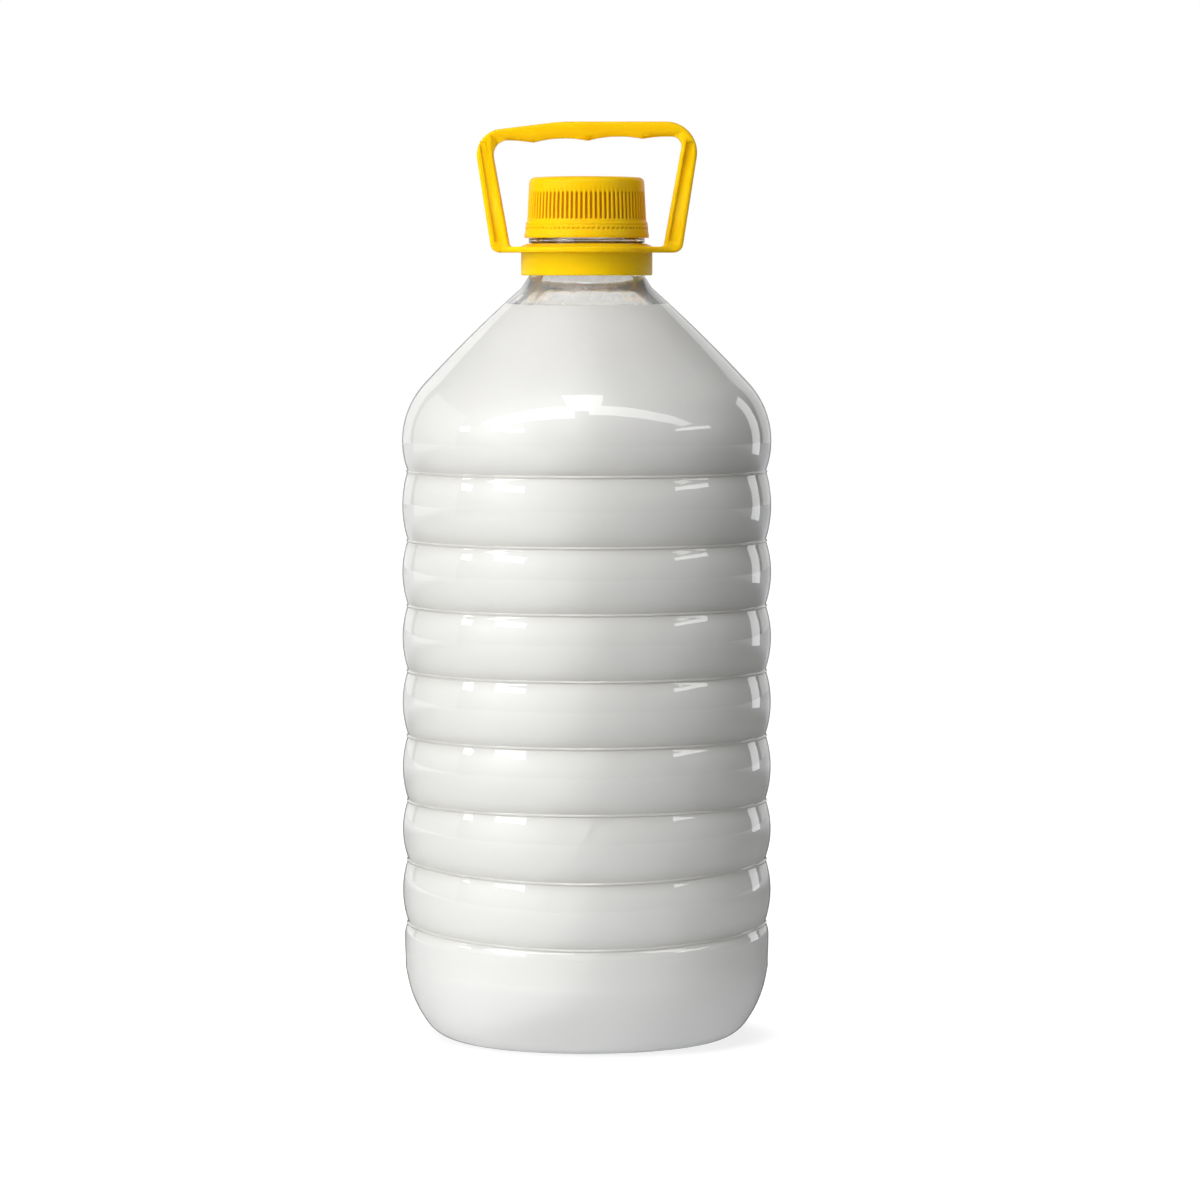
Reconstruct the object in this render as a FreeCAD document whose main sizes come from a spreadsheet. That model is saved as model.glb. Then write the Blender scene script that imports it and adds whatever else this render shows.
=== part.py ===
"""Five litre bottle of milky disinfectant with a screw cap and a carrying handle.

The bottle stands on the XY plane with its axis on +Z, and the two arms of the handle rise
at -X and +X. All lengths are millimetres and angles are degrees. Four pieces are made:

  bottle   blown clear wall with eight grooves, a thick neck and a pushed-up base
  liquid   what fills the bottle, up to its level in the shoulder
  cap      ribbed screw cap with its tamper band, one moulding
  handle   collar that turns on the neck, with two arms and a finger grip
"""

import FreeCAD, Part
import math
import os

import Sketcher
from FreeCAD import Vector

DRIVING_SIZES = {
    # side of the bottle
    "body_radius": 78.0,            # at the crest of the round panels
    "body_wall": 0.6,
    "groove_depth": 2.2,
    "groove_round": 1.6,            # radius in the bottom of a groove
    "first_groove": 49.4,           # height of the lowest groove
    "low_panel": 26.8,              # height of the panel above it
    "next_panel": 25.1,
    "panel": 27.5,                  # height of each of the four panels in the middle
    "top_panel": 29.2,
    "shoulder_rise": 12.5,          # from the top groove to the widest line of the shoulder
    "shoulder_round": 36.0,
    "shoulder_bow": 600.0,          # slight outward bow of the sloping shoulder
    "inner_bow": 300.0,             # the same inside, where the wall thickens to the neck
    # heel and base
    "heel_inset": 0.8,              # widest line of the lowest panel, inside the crest line
    "heel_lip": 5.6,                # from that line up to the lowest groove
    "heel_bow": 150.0,              # radius of the nearly upright band below it
    "waist_drop": 11.8,             # from that line to the faint waist under the band
    "waist_round": 14.0,            # radius of the waist, which bends the other way
    "belly_rise": 2.3,              # from the waist up to the level of the belly's centre
    "heel_belly": 46.0,             # radius of the side below the waist
    "foot_round": 17.0,
    "stand_width": 4.0,             # flat ring that the bottle stands on
    "foot_rise": 4.0,               # radius where that ring turns up into the base
    "push_up": 11.0,                # height of the base in the middle
    # neck
    "neck_bore": 19.8,              # radius
    "neck_wall": 3.5,               # below the support ring
    "slope_rise": 68.3,             # from the widest line of the shoulder to the neck's root
    "inner_root_drop": 1.8,         # how much lower shoulder and neck meet inside
    "root_round": 3.0,
    "ring_rise": 15.2,              # root to the underside of the ring that keeps the collar down
    "ring_height": 1.9,
    "ring_lip": 1.2,                # how far the ring stands out from the neck
    "finish_wall": 2.0,             # threaded part of the neck, without its thread
    "finish_height": 23.8,          # from the top of the ring to the rim
    "bead_start": 2.2,              # height above the ring of the bead under the tamper band
    "bead_height": 1.4,
    "bead_lip": 1.2,
    # liquid
    "fill_drop": 11.7,              # surface below the neck's root
    "fill_gap": 0.05,               # keeps liquid and wall apart
    # collar and plate of the handle
    "collar_gap": 0.4,              # running clearance on the neck, all round
    "collar_lift": 0.3,             # running clearance under the support ring
    "collar_height": 9.6,           # of the skirt below the plate
    "collar_wall": 2.0,
    "collar_ribs": 12,              # inside the skirt, touching the neck with their edges
    "collar_rib_depth": 2.0,
    "collar_rib_width": 1.4,
    "collar_rib_rise": 3.2,         # how far the ribs stop above the skirt's lower edge
    "collar_round": 0.7,
    "plate_lip": 2.1,               # how far the plate stands out from the skirt
    "plate_thickness": 2.5,
    "plate_hub": 1.3,               # rise of the plate's middle towards the support ring
    "hub_foot": 0.3,                # foot of that rise beside the skirt's outside
    "hub_land": 1.5,                # width of its level top
    "plate_end_width": 10.0,        # where the plate ends in the feet of the arms
    "plate_round": 0.9,
    # arms and grip
    "handle_depth": 13.0,
    "arm_step": 2.1,                # from the plate's rim to the arms, at the plate's underside
    "arm_lean": 8.8,
    "arm_width": 8.2,               # at the plate's underside
    "arm_inner_lean": 10.2,
    "grip_top": 52.5,               # above the plate's top
    "grip_droop": 7.0,              # fall of the grip's top towards the -X arm
    "droop_start": 11.0,            # how far left of the middle the fall begins
    "droop_round": 80.0,
    "droop_corner": 11.0,           # outer corner radius at the -X arm
    "grip_corner": 13.0,            # outer corner radius at the +X arm
    "droop_inner_corner": 6.0,
    "grip_inner_corner": 4.0,
    "foot_corner": 4.0,
    "foot_inner_corner": 1.6,
    "finger_pitch": 23.0,           # from one finger rest to the next
    "finger_level": 44.6,           # height of the middle rest above the plate's top
    "finger_offset": 0.5,           # middle rest off the axis
    "end_rise": 0.7,                # grip's ends above the outer rests
    "finger_step": 0.8,             # rise from one rest to the next towards +X
    "finger_hollow": 1.35,          # depth of the hollow between two rests
    "end_hollow": 0.6,              # and of the hollows beyond the outer rests
    "rest_round": 2.5,
    "bevel_height": 2.6,            # slanting lower edges of the grip, on its front and back
    "bevel_depth": 1.5,
    "outer_round": 1.3,             # long outer edges of the arms and grip
    "inner_round": 1.0,
    "rim_width": 2.2,               # raised outer rims of the arms
    "inner_rim_width": 1.7,
    "recess_depth": 1.3,
    "recess_foot": 2.2,             # start of the recess above the plate's top
    "recess_head": 8.5,             # end of the recess below the grip's top
    # cap
    "cap_lift": 0.2,                # from the support ring to the tamper band
    "cap_wall": 2.7,                # ribs included, at their lower ends
    "cap_taper": 0.9,               # how much narrower the top is
    "band_wall": 2.4,
    "cap_top_thickness": 1.8,
    "cap_dome": 0.6,
    "cap_edge_round": 2.4,
    "cap_thread_gap": 0.6,          # from the cap's inside to the threaded neck
    "rib_count": 76,
    "rib_start": 8.7,               # height of the ribs' lower ends above the band's edge
    "rib_head": 5.0,                # from their upper ends to the top
    "rib_depth": 0.75,
    "rib_slot": 0.95,               # width of the slot between two ribs
    "rib_slot_floor": 0.57,
    "band_height": 6.6,             # lower, wider part of the cap
    "band_taper": 0.6,
    "slit_level": 4.8,              # tear slit above the band's edge
    "slit_height": 0.4,
    "slit_depth": 0.7,
    "bridge_width": 0.7,
    "hook_height": 1.0,             # inward lip of the band under the neck's bead
    "hook_gap": 0.5,                # from the lip to the threaded neck
    "seal_depth": 3.0,              # sealing ring that enters the bore
    "seal_wall": 1.2,
    "seal_gap": 0.2,
    # for every cut
    "overrun": 2.5,                 # how far a cutting shape passes what it cuts
}

doc = FreeCAD.newDocument("jug")
sheet = doc.addObject("Spreadsheet::Sheet", "Sizes")
for row, (alias, number) in enumerate(DRIVING_SIZES.items(), start=1):
    sheet.set(f"A{row}", alias.replace("_", " "))
    sheet.set(f"B{row}", str(number))
    sheet.setAlias(f"B{row}", alias)
doc.recompute()


class Size:
    """A number together with the sheet formula that gives it."""

    def __init__(self, number, formula):
        self.number = number
        self.formula = formula

    def tangent(self):
        """Tangent of an angle in degrees."""
        return Size(math.tan(math.radians(self.number)), f"tan({self.formula} * 1 deg)")

    def slant(self):
        """Angle in degrees with this tangent."""
        return Size(math.degrees(math.atan(self.number)), f"atan({self.formula})")

    def combine(self, sign, other, number):
        formula = other.formula if isinstance(other, Size) else repr(other)
        return Size(number, f"({self.formula} {sign} {formula})")

    def __add__(self, other):
        return self.combine("+", other, self.number + plain(other))

    def __sub__(self, other):
        return self.combine("-", other, self.number - plain(other))

    def __mul__(self, other):
        return self.combine("*", other, self.number * plain(other))

    def __truediv__(self, other):
        return self.combine("/", other, self.number / plain(other))


def plain(amount):
    """The bare number of a Size, or the number itself."""
    return amount.number if isinstance(amount, Size) else amount


def size(alias):
    """The named cell of the sheet."""
    return Size(float(sheet.get(alias)), f"Sizes.{alias}")


START, END, CENTRE = 1, 2, 3            # the sketcher's numbers for the points of an edge
ORIGIN = (-1, 1)
FLAT_AXIS, UPRIGHT_AXIS = -1, -2
CLOSE = 1e-3                            # how near two heights or radii count as the same

# radii that follow from the named sizes, from the neck's bore outwards
NECK_RADIUS = size("neck_bore") + size("neck_wall")
RING_RADIUS = NECK_RADIUS + size("ring_lip")
FINISH_RADIUS = size("neck_bore") + size("finish_wall")
COLLAR_BORE = NECK_RADIUS + size("collar_gap")
SKIRT_INSIDE = COLLAR_BORE + size("collar_rib_depth")
COLLAR_RADIUS = SKIRT_INSIDE + size("collar_wall")
PLATE_RADIUS = COLLAR_RADIUS + size("plate_lip")
ARM_FOOT = PLATE_RADIUS + size("arm_step") + size("arm_width")
CAP_INSIDE = FINISH_RADIUS + size("cap_thread_gap")
CAP_SKIRT_RADIUS = CAP_INSIDE + size("cap_wall")
BAND_INSIDE = RING_RADIUS - size("cap_thread_gap")
CAP_BAND_RADIUS = BAND_INSIDE + size("band_wall")


class Outline:
    """An outline in a sketch, drawn edge by edge and held by sizes from the sheet."""

    def __init__(self, body, name, plane="XZ_Plane", level=None):
        self.sketch = body.newObject("Sketcher::SketchObject", name)
        self.sketch.AttachmentSupport = [(origin_feature(body, plane), "")]
        self.sketch.MapMode = "FlatFace"
        if level is not None:
            self.sketch.setExpression("AttachmentOffset.Base.z", level.formula)

    def line(self, first, last):
        edge = Part.LineSegment(Vector(*first, 0), Vector(*last, 0))
        return self.sketch.addGeometry(edge, False)

    def guide(self, first, last):
        """A line that shapes the outline without being part of it."""
        edge = Part.LineSegment(Vector(*first, 0), Vector(*last, 0))
        return self.sketch.addGeometry(edge, True)

    def arc(self, centre, radius, first, last):
        """Arc that runs counter-clockwise from one direction to another, in degrees."""
        circle = Part.Circle(Vector(*centre, 0), Vector(0, 0, 1), radius)
        edge = Part.ArcOfCircle(circle, math.radians(first), math.radians(last))
        return self.sketch.addGeometry(edge, False)

    def circle(self, radius):
        """Full circle about the origin."""
        edge = Part.Circle(Vector(0, 0, 0), Vector(0, 0, 1), radius)
        return self.sketch.addGeometry(edge, False)

    def hold(self, *constraint):
        return self.sketch.addConstraint(Sketcher.Constraint(*constraint))

    def join(self, edge, end, other, other_end):
        self.hold("Coincident", edge, end, other, other_end)

    def smooth(self, edge, end, other, other_end):
        self.hold("Tangent", edge, end, other, other_end)

    def measure(self, kind, *target, amount):
        index = self.hold(kind, *target, plain(amount))
        self.sketch.setExpression(f"Constraints[{index}]", amount.formula)

    def radius(self, arc, amount):
        self.measure("Radius", arc, amount=amount)

    def across(self, edge, end, amount):
        """Put a point at a distance beside the upright axis, or on it for a plain 0."""
        if isinstance(amount, Size):
            self.measure("DistanceX", *ORIGIN, edge, end, amount=amount)
        else:
            self.hold("PointOnObject", edge, end, UPRIGHT_AXIS)

    def height(self, edge, end, amount):
        """Put a point at a distance from the flat axis, or on it for a plain 0."""
        if isinstance(amount, Size):
            self.measure("DistanceY", *ORIGIN, edge, end, amount=amount)
        else:
            self.hold("PointOnObject", edge, end, FLAT_AXIS)

    def place(self, edge, end, point):
        self.across(edge, end, point[0])
        self.height(edge, end, point[1])

    def path(self, points):
        """Straight edges from point to point, each corner held by its two sizes."""
        spots = [(plain(x), plain(y)) for x, y in points]
        edges = [self.line(a, b) for a, b in zip(spots, spots[1:])]
        for before, after in zip(edges, edges[1:]):
            self.join(before, END, after, START)
        for edge, point in zip(edges, points):
            self.place(edge, START, point)
        self.place(edges[-1], END, points[-1])
        return edges

    def polygon(self, points):
        """A closed outline with straight edges, each corner held by its two sizes."""
        spots = [(plain(x), plain(y)) for x, y in points]
        edges = [self.line(a, b) for a, b in zip(spots, spots[1:] + spots[:1])]
        for before, after in zip(edges, edges[1:] + edges[:1]):
            self.join(before, END, after, START)
        for edge, point in zip(edges, points):
            self.place(edge, START, point)
        return edges


def origin_feature(body, role):
    return next(f for f in body.Origin.OriginFeatures if f.Role == role)


def new_body(label):
    body = doc.addObject("PartDesign::Body", label)
    body.Label = label
    return body


def turn(body, outline, name, kind="PartDesign::Revolution"):
    """Turn an outline of the XZ plane right round the body's Z axis."""
    feature = body.newObject(kind, name)
    feature.Profile = outline.sketch
    feature.ReferenceAxis = (origin_feature(body, "Z_Axis"), [""])
    feature.Angle = 360
    return feature


def extrude(body, outline, name, length, kind="PartDesign::Pad", middle=False, back=False):
    """Give an outline a thickness, to one side or to both sides of its plane."""
    feature = body.newObject(kind, name)
    feature.Profile = outline.sketch
    feature.setExpression("Length", length.formula)
    feature.Midplane = middle
    feature.Reversed = back
    return feature


def round_edges(body, base, name, chosen, radius, kind="PartDesign::Fillet"):
    """Round the edges of a feature that the function chosen picks."""
    doc.recompute()
    names = [f"Edge{i}" for i, edge in enumerate(base.Shape.Edges, start=1) if chosen(edge)]
    feature = body.newObject(kind, name)
    feature.Base = (base, names)
    feature.setExpression("Radius" if kind.endswith("Fillet") else "Size", radius.formula)
    return feature


def repeat_round(body, feature, count, name):
    """Repeat a feature evenly round the Z axis."""
    pattern = body.newObject("PartDesign::PolarPattern", name)
    pattern.Originals = [feature]
    pattern.Axis = (origin_feature(body, "Z_Axis"), [""])
    pattern.Angle = 360
    pattern.setExpression("Occurrences", count.formula)
    body.Tip = pattern
    return pattern


def is_circle_at(edge, radius, height):
    """Whether an edge is a level circle round the Z axis with this radius and height."""
    if edge.Degenerated or not isinstance(edge.Curve, Part.Circle):
        return False
    centre = edge.Curve.Center
    on_axis = math.hypot(centre.x, centre.y) < CLOSE
    misfit = abs(edge.Curve.Radius - plain(radius)) + abs(centre.z - plain(height))
    return on_axis and misfit < CLOSE


# ---- bottle and liquid ----------------------------------------------------------------------

def groove_heights():
    """The eight grooves from the lowest up, each one panel above the last."""
    heights = [size("first_groove")]
    for panel in ["low_panel", "next_panel"] + ["panel"] * 4 + ["top_panel"]:
        heights.append(heights[-1] + size(panel))
    return heights


def crown_height():
    """The widest line of the shoulder."""
    return groove_heights()[-1] + size("shoulder_rise")


def root_height():
    """Where shoulder and neck meet outside."""
    return crown_height() + size("slope_rise")


def ring_level():
    """Underside of the support ring."""
    return root_height() + size("ring_rise")


def rim_height():
    return ring_level() + size("ring_height") + size("finish_height")


def direction(centre, point):
    """Direction from one point to another, in degrees."""
    return math.degrees(math.atan2(point[1] - centre[1], point[0] - centre[0]))


def bow_centre(shoulder, shoulder_radius, root, radius):
    """Centre of a large arc through the neck's root that the shoulder's arc touches inside."""
    across, up = root[0] - shoulder[0], root[1] - shoulder[1]
    gap = math.hypot(across, up)
    along = ((radius - shoulder_radius) ** 2 - radius ** 2 + gap ** 2) / (2 * gap)
    aside = math.sqrt((radius - shoulder_radius) ** 2 - along ** 2)
    return (shoulder[0] + (across * along - up * aside) / gap,
            shoulder[1] + (up * along + across * aside) / gap)


def touching_arc(centre, apart, height, side):
    """Centre of an arc at a height and at a distance from another's, outwards or inwards."""
    return centre[0] + side * math.sqrt(apart ** 2 - (height - centre[1]) ** 2), height


def draw_side(outline, inset, bow, root, level=None):
    """Draw the bottle's side from the middle of the base up to the neck's root.

    Every arc keeps its centre and changes its radius by the inset, so an inset copy lies at
    that distance inside. The last arc runs through the root, and ends at a level if given.
    Returns the first and the last edge.
    """
    inward = plain(inset)
    low = inset if isinstance(inset, Size) else 0
    body_radius, groove_round = size("body_radius"), size("groove_round")
    depth, bottom = size("groove_depth"), size("groove_round").number
    valley_across = body_radius - depth + groove_round

    # where the arcs of the heel are centred: band, waist, belly and foot
    grooves = groove_heights()
    heel_radius, heel_height = body_radius - size("heel_inset"), grooves[0] - size("heel_lip")
    band, waist = size("heel_bow"), size("waist_round")
    foot_round, belly = size("foot_round"), size("heel_belly")
    waist_height = heel_height - size("waist_drop")
    belly_height = waist_height + size("belly_rise")
    band_centre = (heel_radius.number - band.number, heel_height.number)
    waist_centre = touching_arc(band_centre, (band + waist).number, waist_height.number, 1)
    belly_centre = touching_arc(waist_centre, (waist + belly).number, belly_height.number, -1)
    foot_centre = touching_arc(belly_centre, (belly - foot_round).number, foot_round.number, 1)
    waist_angle = direction(band_centre, waist_centre)
    belly_angle = direction(belly_centre, waist_centre)
    foot_angle = direction(belly_centre, foot_centre)

    # base: dome, turn into the flat ring, ring and foot
    rise, push_up, stand = size("foot_rise"), size("push_up"), size("stand_width")
    foot_inner = foot_centre[0] - stand.number
    drop = rise.number - push_up.number
    dome_radius = (foot_inner ** 2 + drop ** 2 - rise.number ** 2) / (2 * push_up.number)
    dome_centre = (0, push_up.number - dome_radius)
    rise_centre = (foot_inner, rise.number)
    turn_angle = direction(dome_centre, rise_centre)
    dome = outline.arc(dome_centre, dome_radius + inward, turn_angle, 90)
    outline.hold("PointOnObject", dome, CENTRE, UPRIGHT_AXIS)
    outline.place(dome, END, (0, push_up + inset))
    turn_up = outline.arc(rise_centre, rise.number - inward, turn_angle + 180, 270)
    outline.radius(turn_up, rise - inset)
    outline.smooth(dome, START, turn_up, START)

    ring = outline.line((foot_inner, inward), (foot_centre[0], inward))
    outline.height(ring, START, low)
    outline.hold("Horizontal", ring)
    outline.measure("DistanceX", ring, START, ring, END, amount=stand)
    outline.smooth(turn_up, END, ring, START)
    foot = outline.arc(foot_centre, foot_round.number - inward, -90, foot_angle)
    outline.radius(foot, foot_round - inset)
    outline.smooth(ring, END, foot, START)

    # heel: belly, faint waist, band and the short lip above its widest line
    side = outline.arc(belly_centre, belly.number - inward, foot_angle, belly_angle)
    outline.radius(side, belly - inset)
    outline.height(side, CENTRE, belly_height)
    outline.smooth(foot, END, side, START)
    hollow = outline.arc(waist_centre, waist.number + inward,
                         waist_angle + 180, belly_angle + 180)
    outline.radius(hollow, waist + inset)
    outline.height(hollow, CENTRE, waist_height)
    outline.smooth(side, END, hollow, END)
    side = outline.arc(band_centre, band.number - inward, waist_angle, 0)
    outline.radius(side, band - inset)
    outline.height(side, CENTRE, heel_height)
    outline.across(side, END, heel_radius - inset)
    outline.smooth(hollow, START, side, START)
    over, up = valley_across.number - heel_radius.number, grooves[0].number - heel_height.number
    lip_radius = (over ** 2 + up ** 2 - bottom ** 2) / (2 * (bottom - over))
    lip_centre = (heel_radius.number - lip_radius, heel_height.number)
    valley = (valley_across.number, grooves[0].number)
    lip = outline.arc(lip_centre, lip_radius - inward, 0, direction(lip_centre, valley))
    outline.height(lip, CENTRE, heel_height)
    outline.smooth(side, END, lip, START)

    # round panels between grooves, each touching the crest line
    crown = crown_height()
    crest_line = outline.guide((body_radius.number - inward, 0),
                               (body_radius.number - inward, crown.number))
    outline.place(crest_line, START, (body_radius - inset, 0))
    outline.hold("Vertical", crest_line)
    outline.height(crest_line, END, crown)
    below, below_centre = lip, lip_centre
    tops = [(a + b) / 2 for a, b in zip(grooves, grooves[1:])] + [crown]
    for groove, middle in zip(grooves, tops):
        half = middle.number - groove.number
        spread = (half ** 2 + depth.number ** 2) / (2 * depth.number)
        above_centre = (body_radius.number - spread + bottom, middle.number)
        valley = (valley_across.number, groove.number)
        dip = outline.arc(valley, bottom + inward, direction(valley, above_centre),
                          direction(valley, below_centre) % 360)
        outline.radius(dip, groove_round + inset)
        outline.place(dip, CENTRE, (valley_across, groove))
        outline.smooth(below, END, dip, END)
        swing = math.degrees(math.asin(half / spread))
        is_panel = middle is not crown
        panel_end = swing if is_panel else 0
        panel = outline.arc(above_centre, spread - bottom - inward, -swing, panel_end)
        outline.smooth(dip, START, panel, START)
        if is_panel:
            outline.hold("Tangent", panel, crest_line)
        else:
            outline.height(panel, CENTRE, crown)
        below, below_centre = panel, above_centre

    # shoulder and its bowed slope
    shoulder_round = size("shoulder_round")
    shoulder_centre = (body_radius.number - shoulder_round.number, crown.number)
    shoulder_radius = shoulder_round.number - inward
    root_spot = (root[0].number, root[1].number)
    slope_centre = bow_centre(shoulder_centre, shoulder_radius, root_spot, bow.number)
    slope_start = direction(slope_centre, shoulder_centre)
    shoulder = outline.arc(shoulder_centre, shoulder_radius, 0, slope_start)
    outline.radius(shoulder, shoulder_round - inset)
    outline.height(shoulder, CENTRE, crown)
    outline.across(shoulder, START, body_radius - inset)
    outline.smooth(below, END, shoulder, START)
    if level is None:
        slope_end = direction(slope_centre, root_spot)
    else:
        slope_end = math.degrees(math.asin((level.number - slope_centre[1]) / bow.number))
    slope = outline.arc(slope_centre, bow.number, slope_start, slope_end)
    outline.radius(slope, bow)
    outline.smooth(shoulder, END, slope, START)
    if level is not None:
        mark = outline.sketch.addGeometry(Part.Point(Vector(*root_spot, 0)), True)
        outline.place(mark, START, root)
        outline.hold("PointOnObject", mark, START, slope)
        outline.height(slope, END, level)
    return dome, slope


def make_bottle():
    """Turned wall: its outside, the neck finish and its inside as one closed outline."""
    body = new_body("bottle")
    outline = Outline(body, "Wall")
    wall = size("body_wall")
    outer_root = (NECK_RADIUS, root_height())
    inner_root = (size("neck_bore"), root_height() - size("inner_root_drop"))
    outer_dome, outer_slope = draw_side(outline, 0, size("shoulder_bow"), outer_root)
    inner_dome, inner_slope = draw_side(outline, wall, size("inner_bow"), inner_root)
    ring_high = ring_level() + size("ring_height")
    bead_low = ring_high + size("bead_start")
    neck = outline.path([
        outer_root,
        (NECK_RADIUS, ring_level()),
        (RING_RADIUS, ring_level()),
        (RING_RADIUS, ring_high),
        (FINISH_RADIUS, ring_high),
        (FINISH_RADIUS, bead_low),
        (FINISH_RADIUS + size("bead_lip"), bead_low),
        (FINISH_RADIUS, bead_low + size("bead_height")),
        (FINISH_RADIUS, rim_height()),
        (size("neck_bore"), rim_height()),
        inner_root,
    ])
    outline.join(outer_slope, END, neck[0], START)
    outline.join(neck[-1], END, inner_slope, END)
    low = (0, size("push_up").number)
    middle = outline.line(low, (0, low[1] + wall.number))
    outline.join(middle, START, outer_dome, END)
    outline.join(middle, END, inner_dome, END)
    shell = turn(body, outline, "BlownWall")

    def at_root(edge):
        return is_circle_at(edge, NECK_RADIUS, root_height())

    round_edges(body, shell, "NeckRoot", at_root, size("root_round"))
    return body


def make_liquid():
    """The filling, a hair inside the wall, with a level top."""
    body = new_body("liquid")
    outline = Outline(body, "Filling")
    gap = size("fill_gap")
    root = (size("neck_bore") - gap, root_height() - size("inner_root_drop"))
    level = root_height() - size("fill_drop")
    dome, slope = draw_side(outline, size("body_wall") + gap, size("inner_bow") - gap, root, level)
    rim = outline.sketch.getPoint(slope, END)
    top = outline.line((rim.x, rim.y), (0, level.number))
    middle = outline.line((0, level.number), (0, outline.sketch.getPoint(dome, END).y))
    outline.join(slope, END, top, START)
    outline.hold("Horizontal", top)
    outline.join(top, END, middle, START)
    outline.hold("PointOnObject", middle, START, UPRIGHT_AXIS)
    outline.join(middle, END, dome, END)
    turn(body, outline, "Fill")
    return body


# ---- cap ------------------------------------------------------------------------------------

def make_cap():
    """Turned cup with a tamper band, slotted all round to leave its ribs."""
    body = new_body("cap")
    low = ring_level() + size("ring_height") + size("cap_lift")
    rim = rim_height()
    top = rim + size("cap_top_thickness")
    top_radius = CAP_SKIRT_RADIUS - size("cap_taper")
    lip_inside = FINISH_RADIUS + size("hook_gap")
    seal_outside = size("neck_bore") - size("seal_gap")
    seal_inside = seal_outside - size("seal_wall")
    seal_low = rim - size("seal_depth")
    ribs_low = low + size("rib_start")
    band_top = low + size("band_height")
    hook_top = low + size("hook_height")
    outline = Outline(body, "CapSection")
    outline.polygon([
        (0, top + size("cap_dome")),
        (0, rim),
        (seal_inside, rim),
        (seal_inside, seal_low),
        (seal_outside, seal_low),
        (seal_outside, rim),
        (CAP_INSIDE, rim),
        (CAP_INSIDE, band_top),
        (BAND_INSIDE, band_top - size("hook_height")),
        (BAND_INSIDE, hook_top),
        (lip_inside, hook_top),
        (BAND_INSIDE, low),
        (CAP_BAND_RADIUS, low),
        (CAP_BAND_RADIUS - size("band_taper"), band_top),
        (CAP_SKIRT_RADIUS, band_top + size("band_taper")),
        (CAP_SKIRT_RADIUS, ribs_low),
        (top_radius, top),
    ])
    cup = turn(body, outline, "Cup")

    def at_top(edge):
        return is_circle_at(edge, top_radius, top)

    round_edges(body, cup, "CapEdge", at_top, size("cap_edge_round"))

    slit = Outline(body, "SlitSection")
    slit_low = low + size("slit_level")
    slit_floor = CAP_BAND_RADIUS - size("band_taper") - size("slit_depth")
    beyond = CAP_BAND_RADIUS + size("overrun")
    slit.polygon([
        (slit_floor, slit_low),
        (beyond, slit_low),
        (beyond, slit_low + size("slit_height")),
        (slit_floor, slit_low + size("slit_height")),
    ])
    turn(body, slit, "Slit", kind="PartDesign::Groove")

    bridge = Outline(body, "BridgePlan", plane="XY_Plane", level=slit_low)
    half = size("bridge_width") / 2
    bridge_out = CAP_BAND_RADIUS - size("band_taper")
    bridge_in = slit_floor - size("slit_depth") / 2
    bridge.polygon([(bridge_in, half), (bridge_in, half * -1),
                    (bridge_out, half * -1), (bridge_out, half)])
    pad = extrude(body, bridge, "Bridge", size("slit_height"))
    repeat_round(body, pad, size("rib_count"), "Bridges")

    slot = Outline(body, "SlotPlan", plane="XY_Plane", level=ribs_low)
    half, half_floor = size("rib_slot") / 2, size("rib_slot_floor") / 2
    floor = CAP_SKIRT_RADIUS - size("rib_depth")
    mouth = CAP_SKIRT_RADIUS + size("rib_depth")
    slot.polygon([(floor, half_floor * -1), (mouth, half * -1), (mouth, half), (floor, half_floor)])
    length = top - size("rib_head") - ribs_low
    cut = extrude(body, slot, "Slot", length, kind="PartDesign::Pocket", back=True)
    repeat_round(body, cut, size("rib_count"), "Ribs")
    return body


# ---- handle ---------------------------------------------------------------------------------

def plate_levels():
    """Underside and top of the plate at its rim."""
    top = ring_level() - size("collar_lift") - size("plate_hub")
    return top - size("plate_thickness"), top


def is_level(edge, height):
    """Whether an edge lies flat at a height."""
    box = edge.BoundBox
    return abs(box.ZMin - plain(height)) + abs(box.ZMax - plain(height)) < CLOSE


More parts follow.
